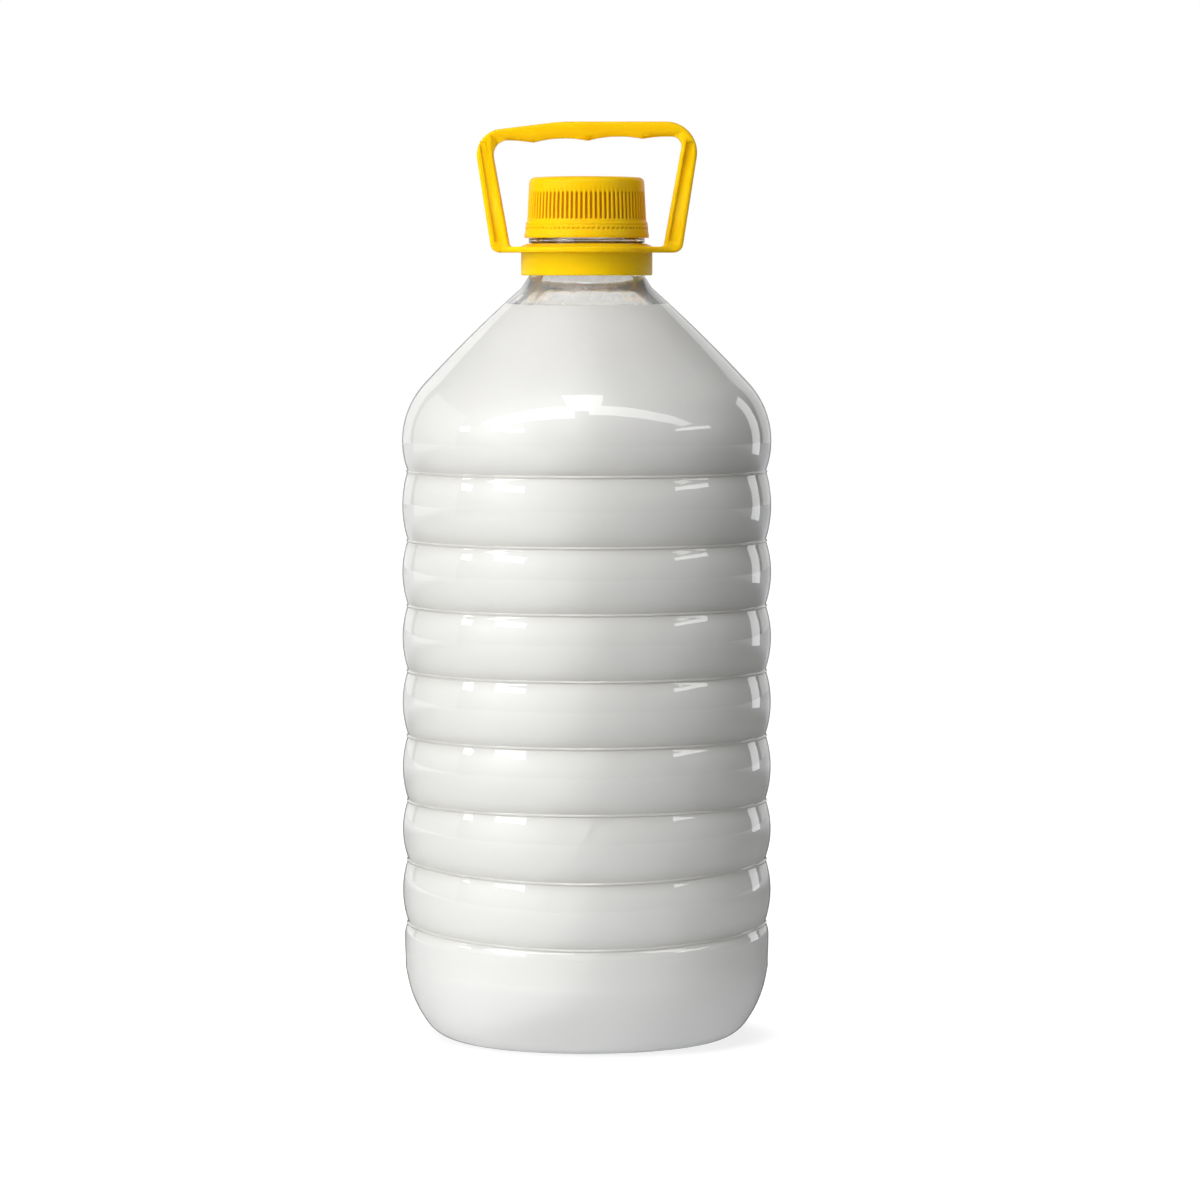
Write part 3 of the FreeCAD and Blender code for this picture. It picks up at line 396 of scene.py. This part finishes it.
cap_profile = np.concatenate([cap_inside, cap_outside, cap_edge, cap_crown])
print("the cap's profile has", len(cap_profile), "points")

# %% Cap
SLOT_DEPTH, SLIT_DEPTH = 0.75, 0.4
radius, height = grid(cap_profile, len(cap_angle))
is_outside = (np.arange(len(cap_profile)) >= len(cap_inside))[:, None]
in_slot = (1 - fade(from_slot, 0.34, 0.64)) * fade(height, SLOT_LOW - 0.25, SLOT_LOW + 0.15)
in_slot = in_slot * (1 - fade(height, SLOT_HIGH - 0.6, SLOT_HIGH + 0.4)) * is_outside
in_slit = (np.abs(height - SLIT - 0.2) < 0.25) * fade(from_slot, 0.3, 0.42) * is_outside
radius = radius - SLOT_DEPTH * in_slot - SLIT_DEPTH * in_slit
cap = closed_surface("ribbed_cap", radius, height, cap_angle)
# Share of slot depth that the cap's colour uses for painted shade.
mark_points(cap, "painted_slot_shade", np.maximum(in_slot, 0.35 * in_slit))

# %% [markdown]
# ## The handle
#
# Collar, arms and finger grip are one hard moulding, and the measured model already has all of
# its rounds and recesses. Its mesh arrives as loose triangles. A merged copy, shaded smoothly
# up to its real edges, takes the light as a moulding does. The recesses of the arms look
# shallow on the real handle, so the copy's are filled up by a part of a millimetre.

# %% Handle
RECESS_FLOOR, RECESS_FILL = 5.2, 0.7    # from the handle's middle plane
handle = new_object("carrying_handle", nodes["handle"].data.copy())
handle.matrix_world = nodes["handle"].matrix_world.copy()
handle.data.transform(handle.matrix_world)
handle.matrix_world.identity()
work = bmesh.new()
work.from_mesh(handle.data)
bmesh.ops.remove_doubles(work, verts=work.verts, dist=1e-6)
work.normal_update()
floor_points = set()
for face in work.faces:
    off = abs(face.calc_center_median().y) - RECESS_FLOOR * MM
    if abs(face.normal.y) > 0.999 and abs(off) < 0.01 * MM:
        floor_points.update(face.verts)
for point in floor_points:
    point.co.y = math.copysign((RECESS_FLOOR + RECESS_FILL) * MM, point.co.y)
work.to_mesh(handle.data)
work.free()
handle.data.shade_smooth()
handle.data.set_sharp_from_angle(angle=math.radians(32))
print("handle has", len(handle.data.polygons), "faces,", len(floor_points), "points moved")

# %% [markdown]
# ## Pieces and bodies
#
# Bottle, liquid and cap stand still together. Only the handle turns, so it rides on the body
# of its own that the joint moves. Each piece takes the place of one node of the measured model.

# %% Put the pieces on their bodies
for piece, node, body, finish in ((bottle, "bottle", "jug", "clear_wall"),
                                  (liquid, "liquid", "jug", "milky_liquid"),
                                  (cap, "cap", "jug", "cap_yellow"),
                                  (handle, "handle", "carrier", "handle_yellow")):
    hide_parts(node)
    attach(piece, body)
    print(piece.name, "stands for", node, "and rides on", body)

# %% [markdown]
# ## Effects that several materials share
#
# The small marks of moulding and use are built once as node groups. Each gives only values:
# a height for the bump, a share for the roughness and a share for the colour. A picture could
# hold the same marks, but noise in the object's own space needs no seams and no resolution.

# %% Small helpers for nodes
def noise(add, link, source, scale, detail=2.0, roughness=0.5, stretch=None):
    """Noise in the object's own space; a stretch under 1 makes it longer along that axis."""
    node = add.new("ShaderNodeTexNoise")
    node.inputs["Scale"].default_value = scale
    node.inputs["Detail"].default_value = detail
    node.inputs["Roughness"].default_value = roughness
    if stretch:
        squeeze = add.new("ShaderNodeMapping")
        squeeze.inputs["Scale"].default_value = stretch
        link.new(source, squeeze.inputs["Vector"])
        source = squeeze.outputs[0]
    link.new(source, node.inputs["Vector"])
    return node.outputs["Fac"]


def steps(add, link, value, *limits):
    """Map a value softly from the first two limits to the last two."""
    node = add.new("ShaderNodeMapRange")
    node.interpolation_type = "SMOOTHSTEP"
    for label, limit in zip(("From Min", "From Max", "To Min", "To Max"), limits):
        node.inputs[label].default_value = limit
    link.new(value, node.inputs["Value"])
    return node.outputs[0]


def maths(add, link, operation, *values):
    """Maths node whose inputs are sockets or plain numbers."""
    node = add.new("ShaderNodeMath")
    node.operation = operation
    for socket, value in zip(node.inputs, values):
        if isinstance(value, (int, float)):
            socket.default_value = value
        else:
            link.new(value, socket)
    return node.outputs[0]


# %% Node groups
def new_group(name, *outputs):
    """Node group that takes a place and gives one value for each name."""
    group = bpy.data.node_groups.new(name, "ShaderNodeTree")
    group.interface.new_socket("Vector", in_out="INPUT", socket_type="NodeSocketVector")
    for label in outputs:
        group.interface.new_socket(label, in_out="OUTPUT", socket_type="NodeSocketFloat")
    place = group.nodes.new("NodeGroupInput").outputs["Vector"]
    return group, place, group.nodes.new("NodeGroupOutput").inputs


def moulded_skin():
    """Grain, flow marks and scuffs of a moulded piece: height, dullness and tone."""
    group, place, out = new_group("moulded_skin", "Height", "Dull", "Tone")
    add, link = group.nodes, group.links
    grain = noise(add, link, place, 2600, 3, 0.6)
    peel = noise(add, link, place, 420, 2)
    flow = noise(add, link, place, 60, 3, 0.55, stretch=(1, 1, 0.35))
    patch = noise(add, link, place, 28, 2)
    scuff = noise(add, link, place, 240, 4, 0.7, stretch=(1, 1, 0.12))
    scratch = steps(add, link, scuff, 0.62, 0.72, 0, 1)
    coarse = maths(add, link, "MULTIPLY_ADD", peel, 1.6, grain)
    height = maths(add, link, "MULTIPLY_ADD", flow, 2.2, coarse)
    tone = maths(add, link, "MULTIPLY", patch, 0.4)
    link.new(maths(add, link, "MULTIPLY_ADD", scratch, -0.5, height), out["Height"])
    link.new(maths(add, link, "MULTIPLY_ADD", scratch, 0.6, patch), out["Dull"])
    link.new(maths(add, link, "MULTIPLY_ADD", flow, 0.6, tone), out["Tone"])
    return group


def blown_skin():
    """Streaks that run up a blown wall, and soft swells in it: height and streaks alone."""
    group, place, out = new_group("blown_skin", "Height", "Streak")
    add, link = group.nodes, group.links
    streak = noise(add, link, place, 170, 3, 0.55, stretch=(1, 1, 0.07))
    swell = noise(add, link, place, 36, 2)
    link.new(maths(add, link, "MULTIPLY_ADD", swell, 2.0, streak), out["Height"])
    link.new(streak, out["Streak"])
    return group


SKIN = moulded_skin()
BLOWN = blown_skin()
print("node groups:", SKIN.name, "and", BLOWN.name)


# %% [markdown]
# ## Materials
#
# Both yellows are polypropylene with a satin skin. They differ a little, because the cap and
# the handle come out of different moulds. The slots of the cap get painted shade: a share of
# their depth darkens them to brown, more than plain shadow would. Where the surface turns away
# from the eye, painted shade takes the colour deeper and over to orange. A little light also
# wanders inside the plastic.

# %% Helpers for materials
def new_material(name):
    """Empty material with its nodes and its links."""
    material = bpy.data.materials.new(name)
    material.use_nodes = True
    tree = material.node_tree
    tree.nodes.clear()
    return material, tree.nodes, tree.links


def finished(material, add, link, shader):
    """The material with this shader on its surface."""
    link.new(shader, add.new("ShaderNodeOutputMaterial").inputs[0])
    return material


def marks(add, link, group):
    """Outputs of a shared node group, fed with the object's own coordinates."""
    place = add.new("ShaderNodeTexCoord")
    node = add.new("ShaderNodeGroup")
    node.node_tree = group
    link.new(place.outputs["Object"], node.inputs["Vector"])
    return node.outputs


def painted(add, name):
    """The share that mark_points gave to each point under this name."""
    node = add.new("ShaderNodeAttribute")
    node.attribute_name = name
    return node.outputs["Fac"]


def blend(add, link, share, first, second):
    """Colour between two colours; each is a socket or a plain colour."""
    node = add.new("ShaderNodeMix")
    node.data_type = "RGBA"
    link.new(share, node.inputs[0])
    for socket, colour in ((node.inputs[6], first), (node.inputs[7], second)):
        if isinstance(colour, tuple):
            socket.default_value = (*colour, 1)
        else:
            link.new(colour, socket)
    return node.outputs[2]


# %% Helpers for shaders
def bumped(add, link, shader, height, strength, distance):
    """Let a height shape the normals of a shader."""
    bump = add.new("ShaderNodeBump")
    bump.inputs["Strength"].default_value = strength
    bump.inputs["Distance"].default_value = distance
    link.new(height, bump.inputs["Height"])
    link.new(bump.outputs[0], shader.inputs["Normal"])


def matt(add, *colour):
    """Matt shader of one colour."""
    node = add.new("ShaderNodeBsdfDiffuse")
    node.inputs["Color"].default_value = (*colour, 1)
    return node.outputs[0]


def mixed(add, link, share, first, second):
    """Shader between two shaders."""
    node = add.new("ShaderNodeMixShader")
    for socket, source in zip(node.inputs, (share, first, second)):
        link.new(source, socket)
    return node.outputs[0]


# %% Yellow plastics
# Painted shade for the depth of the cap's slots.
SLOT_SHADE_COLOUR = (0.46, 0.14, 0.001)
# Painted shade where the yellow turns away from the eye.
EDGE_SHADE_COLOUR = (0.6, 0.22, 0.001)


def yellow_plastic(name, light_tone, deep_tone, painted_slot_shade=None):
    """Satin yellow; a named attribute of slot depth darkens the colour there as painted shade.
    """
    material, add, link = new_material(name)
    shader = add.new("ShaderNodeBsdfPrincipled")
    skin = marks(add, link, SKIN)
    tone = steps(add, link, skin["Tone"], 0.3, 0.7, 0, 1)
    colour = blend(add, link, tone, deep_tone, light_tone)
    if painted_slot_shade:
        # Painted shade in the slots, darker as they deepen.
        slot_shade_share = maths(add, link, "MULTIPLY", painted(add, painted_slot_shade), 0.8)
        colour = blend(add, link, slot_shade_share, colour, SLOT_SHADE_COLOUR)
    # Where the surface turns away from the eye, painted shade turns the colour orange.
    edge_on = add.new("ShaderNodeLayerWeight")
    turned = steps(add, link, edge_on.outputs["Facing"], 0.7, 1.0, 0, 0.35)
    link.new(blend(add, link, turned, colour, EDGE_SHADE_COLOUR), shader.inputs["Base Color"])
    dull = steps(add, link, skin["Dull"], 0.3, 1.0, 0.34, 0.55)
    link.new(dull, shader.inputs["Roughness"])
    shader.inputs["Specular IOR Level"].default_value = 0.12
    shader.inputs["Subsurface Weight"].default_value = 0.4
    shader.inputs["Subsurface Radius"].default_value = (0.004, 0.0015, 0.0002)
    shader.inputs["Subsurface Scale"].default_value = 1
    bumped(add, link, shader, skin["Height"], 0.18, 0.00006)
    return finished(material, add, link, shader.outputs[0])


cap.data.materials.append(
    yellow_plastic("cap_yellow", (0.95, 0.57, 0.001), (0.92, 0.52, 0.001), "painted_slot_shade"))
handle.data.materials.clear()
handle.data.materials.append(
    yellow_plastic("handle_yellow", (0.97, 0.6, 0.001), (0.94, 0.55, 0.001)))
print("materials:", cap.data.materials[0].name, "and", handle.data.materials[0].name)

# %% [markdown]
# ## Clear wall and white liquid
#
# The wall is clear polyester with fine streaks that run up it. Where it is seen edge on, the
# sight line runs along the plastic, and a painted dark outline stands in for it. The misted
# part above the liquid scatters a little light. Both are matt shares mixed into the clear
# plastic. Lamps have to reach the liquid through it, so for shadow rays it is plainly
# transparent. The liquid is an emulsion, white with a trace of warmth. Near each groove it gets
# a painted shade, darker and warmer, for the light that bounces to and fro there. Real
# scattering inside it would give the same white for far more work.

# %% Clear wall
def clear_plastic():
    """Clear streaked polyester with a painted dark outline and mist."""
    material, add, link = new_material("clear_plastic")
    shader = add.new("ShaderNodeBsdfPrincipled")
    shader.inputs["Base Color"].default_value = (0.94, 0.943, 0.935, 1)
    shader.inputs["IOR"].default_value = 1.57
    shader.inputs["Transmission Weight"].default_value = 1
    skin = marks(add, link, BLOWN)
    streaks = steps(add, link, skin["Streak"], 0.35, 0.75, 0.015, 0.05)
    link.new(streaks, shader.inputs["Roughness"])
    bumped(add, link, shader, skin["Height"], 0.2, 0.0002)
    # Seen edge on, a dark matt is mixed in: a painted dark outline.
    edge_on = add.new("ShaderNodeLayerWeight")
    painted_outline = steps(add, link, edge_on.outputs["Facing"], 0.86, 0.94, 0, 0.75)
    wall = mixed(add, link, painted_outline, shader.outputs[0], matt(add, 0.1, 0.095, 0.08))
    drops = maths(add, link, "MULTIPLY", painted(add, "mist"),
                  steps(add, link, skin["Height"], 0.8, 2.2, 0.16, 0.36))
    hazy = mixed(add, link, drops, wall, matt(add, 0.75, 0.75, 0.74))
    path = add.new("ShaderNodeLightPath")
    lit = add.new("ShaderNodeBsdfTransparent")
    return finished(material, add, link,
                    mixed(add, link, path.outputs["Is Shadow Ray"], hazy, lit.outputs[0]))


bottle.data.materials.append(clear_plastic())
print("material:", bottle.data.materials[0].name)


# %% White liquid
def milk():
    """White emulsion with painted shade, darker and warmer, where a groove is near."""
    material, add, link = new_material("milky_liquid")
    shader = add.new("ShaderNodeBsdfPrincipled")
    place = add.new("ShaderNodeTexCoord")
    cloud = noise(add, link, place.outputs["Object"], 14, 3)
    white = blend(add, link, steps(add, link, cloud, 0.3, 0.7, 0, 1),
                  (0.575, 0.572, 0.561), (0.592, 0.589, 0.578))
    # Painted shade in the grooves: darker and warmer.
    colour = blend(add, link, painted(add, "valley"), white, (0.52, 0.513, 0.492))
    link.new(colour, shader.inputs["Base Color"])
    shader.inputs["Roughness"].default_value = 0.3
    return finished(material, add, link, shader.outputs[0])


# Share of the painted groove shade: it grows where the liquid lies deep in a groove.
depth = BODY_RADIUS - WALL - liquid_profile[:, 0]
in_body = (liquid_profile[:, 1] > GROOVES[0] - 4) & (liquid_profile[:, 1] < GROOVES[-1] + 5)
valley = np.where(in_body, fade(depth, 0.7, 2.2), 0)
mark_points(liquid, "valley", np.repeat(valley[:, None], COLUMNS, axis=1))
liquid.data.materials.append(milk())
print("material:", liquid.data.materials[0].name)

# %% [markdown]
# ## The white floor
#
# The jug stands on a lit white sweep that has no edge. A real sweep has to be far brighter than
# the jug, which would drown it in bounced light. So the floor shows one face to the eye, part
# matt and part glowing, and another to the light: a matt board whose glow near the jug lifts
# the heel. The faint contact shadow is partly real, in the matt part, and partly painted, where
# the glow seen by the eye dims near the jug. Glossy plastic mirrors none of that near glow,
# only a floor that brightens softly far behind.

# %% One face for the eye and one for the light
def seen_directly(add, link, share=None):
    """Mask that is 1 for what the camera sees, also through clear plastic, and 0 for light.

    A ray counts as seen if it is a camera or a transmission ray that met no matt surface yet.
    """
    path = add.new("ShaderNodeLightPath")
    through = path.outputs["Is Transmission Ray"]
    if share is not None:
        through = maths(add, link, "MULTIPLY", through, share)
    either = maths(add, link, "MAXIMUM", path.outputs["Is Camera Ray"], through)
    unlit = maths(add, link, "SUBTRACT", either, path.outputs["Diffuse Depth"])
    return maths(add, link, "MAXIMUM", unlit, 0)


def glowing(add, link, base, strength, *colour):
    """A shader with light of its own added."""
    glow = add.new("ShaderNodeEmission")
    glow.inputs["Color"].default_value = (*colour, 1)
    link.new(strength, glow.inputs["Strength"])
    both = add.new("ShaderNodeAddShader")
    link.new(base, both.inputs[0])
    link.new(glow.outputs[0], both.inputs[1])
    return both.outputs[0]


# %% Floor
def white_floor():
    """Material of the floor, with one face for the eye and one for the light."""
    material, add, link = new_material("white_floor")
    place = add.new("ShaderNodeTexCoord").outputs["Object"]
    reach = add.new("ShaderNodeVectorMath")
    reach.operation = "LENGTH"
    link.new(place, reach.inputs[0])
    from_middle = reach.outputs["Value"]
    away = add.new("ShaderNodeSeparateXYZ")
    link.new(place, away.inputs[0])
    # Near the jug the glow seen by the eye dims: a painted contact shadow.
    glow_with_painted_shadow = steps(add, link, from_middle, 0.062, 0.095, 0.72, 0.97)
    pool = steps(add, link, from_middle, 0.1, 0.35, 1.6, 0)
    backdrop = steps(add, link, away.outputs["Y"], 0.5, 1.5, 0, 0.6)
    path = add.new("ShaderNodeLightPath")
    # A rough transmission ray also counts as glossy, so it is taken off again.
    glossy = maths(add, link, "SUBTRACT", path.outputs["Is Glossy Ray"],
                   path.outputs["Is Transmission Ray"])
    unmirrored = maths(add, link, "SUBTRACT", 1, maths(add, link, "MAXIMUM", glossy, 0))
    near = maths(add, link, "MULTIPLY", pool, unmirrored)
    upward = maths(add, link, "ADD", near, backdrop)
    for_light = glowing(add, link, matt(add, 0.6, 0.6, 0.6), upward, 0.95, 0.97, 1)
    for_eye = glowing(add, link, matt(add, 0.3, 0.3, 0.3), glow_with_painted_shadow, 1, 1, 1)
    return finished(material, add, link,
                    mixed(add, link, seen_directly(add, link), for_light, for_eye))


floor_mesh = bpy.data.meshes.new("floor")
floor_mesh.from_pydata([(-6, -6, 0), (6, -6, 0), (6, 6, 0), (-6, 6, 0)], [], [(0, 1, 2, 3)])
floor = new_object("floor", floor_mesh)
floor_mesh.materials.append(white_floor())
print("floor:", floor_mesh.materials[0].name)

# %% [markdown]
# ## The room
#
# The eye sees pure white all round. The light that reaches the jug comes from a dim room that
# is bright only straight behind it, so the jug's sides fall off to grey and its clear neck
# still shows the white behind. A plain white world would light the jug flat.

# %% World
world = bpy.data.worlds.new("studio")
bpy.context.scene.world = world
world.use_nodes = True
add, link = world.node_tree.nodes, world.node_tree.links
add.clear()
split = add.new("ShaderNodeSeparateXYZ")
link.new(add.new("ShaderNodeTexCoord").outputs["Generated"], split.inputs[0])
room, white = add.new("ShaderNodeBackground"), add.new("ShaderNodeBackground")
for shade in (room, white):
    shade.inputs["Color"].default_value = (1, 1, 1, 1)
link.new(steps(add, link, split.outputs["Y"], 0.78, 0.82, 0.27, 1), room.inputs["Strength"])
ahead = steps(add, link, split.outputs["Y"], -0.2, 0.75, 0.25, 1)
studio = mixed(add, link, seen_directly(add, link, ahead), room.outputs[0], white.outputs[0])
link.new(studio, add.new("ShaderNodeOutputWorld").inputs[0])
print("world:", world.name)

# %% [markdown]
# ## Lights
#
# One large soft light from the front left shapes the body, and a smaller one lifts the slope.
# They are matt, which means that the glossy wall does not mirror them. What it mirrors is set
# by itself: a window and a slit on the left, a long window and a strip on the right, and three
# parts of a bright ceiling that draw the arc on the shoulder. Real softboxes do both at once,
# but with the two apart each highlight keeps its shape while the shading is tuned.

# %% Lamps
def area_lamp(name, place, toward, width, height, level, lights):
    """Rectangular lamp at a place, turned to a point; level is the brightness of its face.

    A lamp that lights "matt" adds no reflection of its own, and one that lights "gloss" is
    only seen mirrored.
    """
    data = bpy.data.lights.new(name, "AREA")
    data.shape = "RECTANGLE"
    data.size, data.size_y = width, height
    data.energy = level * math.pi * width * height
    lamp = new_object(name, data)
    lamp.location = place
    lamp.rotation_euler = (Vector(place) - Vector(toward)).to_track_quat("Z", "Y").to_euler()
    lamp.visible_glossy = lights == "gloss"
    lamp.visible_diffuse = lights == "matt"
    print(name, "lights", lights)


def softbox(name, azimuth, elevation, distance, *shape, lights):
    """Lamp on a sphere round the jug. Azimuth 0 is the front and +90 the right."""
    turn, lift = math.radians(azimuth), math.radians(elevation)
    middle = Vector((0, 0, 0.2))
    away = Vector((math.sin(turn) * math.cos(lift), -math.cos(turn) * math.cos(lift),
                   math.sin(lift)))
    area_lamp(name, middle + away * distance, middle, *shape, lights=lights)


softbox("key", -52, 15, 2.0, 1.6, 1.4, 4.15, lights="matt")
area_lamp("upper", (-0.35, -0.6, 0.95), (0, 0, 0.3), 0.7, 0.5, 4.0, lights="matt")
softbox("left_wall", -112, 8, 2.2, 2.0, 1.8, 0.35, lights="gloss")
softbox("window_left", -50, 19, 2.2, 0.78, 0.21, 9, lights="gloss")
softbox("slit_left", -82, 15.5, 2.2, 0.3, 0.18, 9, lights="gloss")
softbox("window_right", 71, 18, 2.2, 1.0, 0.12, 5, lights="gloss")
softbox("strip_right", 130, 1, 1.8, 0.36, 1.7, 2.0, lights="gloss")
for part, x, y, width, depth in (("middle", -0.05, -0.95, 0.5, 0.8),
                                 ("right", 1.7, -1.33, 3.3, 0.6),
                                 ("left", -1.7, -1.45, 2.9, 0.8)):
    area_lamp(f"ceiling_{part}", (x, y, 1.6), (x, y, 0), width, depth, 3.6, lights="gloss")

# %% [markdown]
# ## Camera
#
# The jug is seen from far off with a long lens and from the height of its neck, so that the
# upper grooves look almost straight and the lower ones bend down.

# %% Camera
camera_data = bpy.data.cameras.new("camera")
camera_data.sensor_width, camera_data.lens = 36, 166.8
camera = new_object("camera", camera_data)
camera.location = (0.0056, -2.35, 0.326)
aim = Vector((0.0056, 0, 0.1856)) - camera.location
camera.rotation_euler = aim.to_track_quat("-Z", "Y").to_euler()
bpy.context.scene.camera = camera
bpy.context.scene.view_settings.view_transform = "Standard"
print("camera at", tuple(round(value, 3) for value in camera.location))
